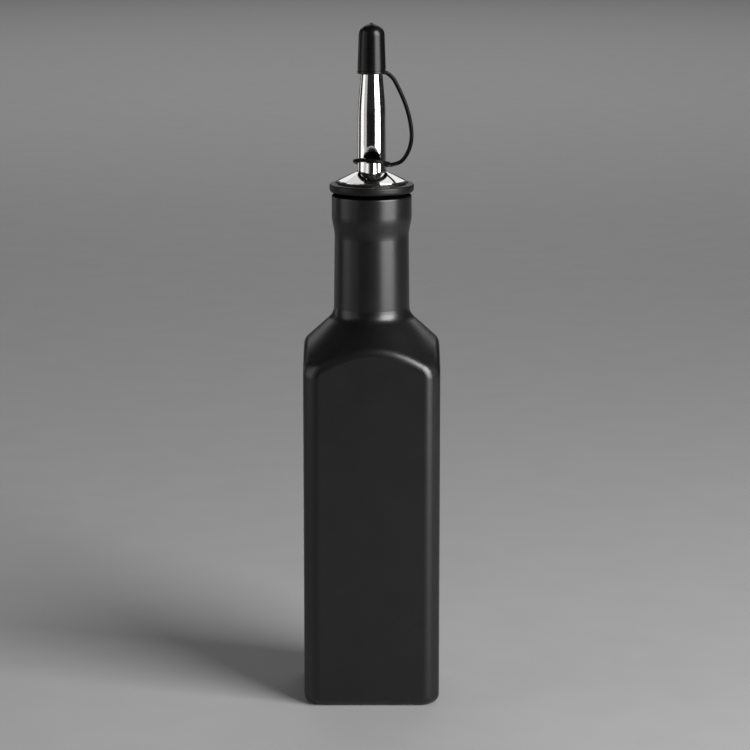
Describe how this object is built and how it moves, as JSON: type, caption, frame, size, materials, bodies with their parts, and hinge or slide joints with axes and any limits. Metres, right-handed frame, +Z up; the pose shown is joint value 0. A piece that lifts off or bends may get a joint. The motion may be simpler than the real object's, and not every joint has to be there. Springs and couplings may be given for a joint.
{
  "type": "pour-spout bottle",
  "caption": "Square dark bottle with an arched shoulder and round neck, closed by a steel pour spout under a tethered rubber cap.",
  "frame": {"origin": "middle of the bottle's base", "axes": "+Z up along the bottle's axis; the vent of the spout faces -Y and the tether bows out towards +X"},
  "size_m": [0.06, 0.06, 0.3002],
  "materials": {
    "bottle_coating": "satin black coating over glass",
    "stopper_rubber": "moulded matte",
    "spout_steel": "polished stainless steel",
    "cap_rubber": "moulded satin"
  },
  "bodies": {
    "root": {"bottle": "bottle_coating", "stopper_collar": "stopper_rubber", "pour_spout": "spout_steel", "spout_cap": "cap_rubber", "cap_tether": "cap_rubber", "tether_ring": "cap_rubber"}
  },
  "joints": []
}
